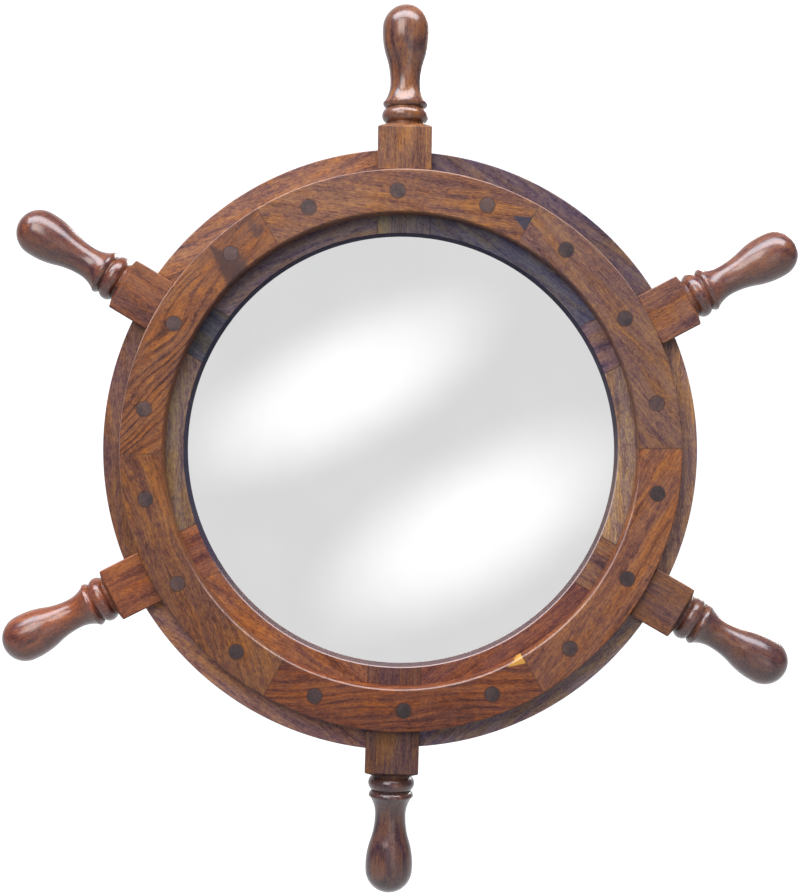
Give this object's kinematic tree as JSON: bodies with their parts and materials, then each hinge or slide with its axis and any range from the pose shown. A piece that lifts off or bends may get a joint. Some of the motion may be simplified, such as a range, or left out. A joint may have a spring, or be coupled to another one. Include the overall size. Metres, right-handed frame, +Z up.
{
  "type": "ship steering wheel",
  "caption": "Ship's steering wheel in dowelled hardwood with turned handles, square blocks and a layered rim around a round looking glass, hung from a ring on its back.",
  "frame": {"origin": "centre of the wheel, in the middle of its thickness", "axes": "+Z up along the top spoke, -Y out of the front face, +X to the right as seen from the front"},
  "size_m": [0.5428, 0.045, 0.61],
  "materials": {
    "spoke_wood": "varnished, red brown",
    "felloe_wood": "varnished, dark brown",
    "ring_wood": "varnished, orange brown",
    "dowel_wood": "end grain, varnished",
    "looking_glass": "silvered",
    "card": "plain",
    "board": "plain thin board",
    "hanger_brass": "satin",
    "screw_brass": "satin"
  },
  "bodies": {
    "wheel": {"spoke_top": "spoke_wood", "spoke_upper_right": "spoke_wood", "spoke_lower_right": "spoke_wood", "spoke_bottom": "spoke_wood", "spoke_lower_left": "spoke_wood", "spoke_upper_left": "spoke_wood", "felloe_top_right": "felloe_wood", "felloe_right": "felloe_wood", "felloe_bottom_right": "felloe_wood", "felloe_bottom_left": "felloe_wood", "felloe_left": "felloe_wood", "felloe_top_left": "felloe_wood", "front_ring_top": "ring_wood", "front_ring_upper_right": "ring_wood", "front_ring_lower_right": "ring_wood", "front_ring_bottom": "ring_wood", "front_ring_lower_left": "ring_wood", "front_ring_upper_left": "ring_wood", "back_ring_top": "ring_wood", "back_ring_upper_right": "ring_wood", "back_ring_lower_right": "ring_wood", "back_ring_bottom": "ring_wood", "back_ring_lower_left": "ring_wood", "back_ring_upper_left": "ring_wood", "spoke_dowels": "dowel_wood", "felloe_dowels": "dowel_wood", "mirror_glass": "looking_glass", "packing_card": "card", "backing_board": "board", "board_screws": "screw_brass", "hanger_strap": "hanger_brass", "hanger_screws": "screw_brass"},
    "hanging_ring": {"hanger_ring": "hanger_brass"}
  },
  "joints": [
    {"name": "hanging_ring_hinge", "type": "hinge", "parent": "wheel", "child": "hanging_ring", "pos_m": [0, 0.02025, 0.21825], "axis": [1, 0, 0], "range_deg": [0, 180]}
  ]
}
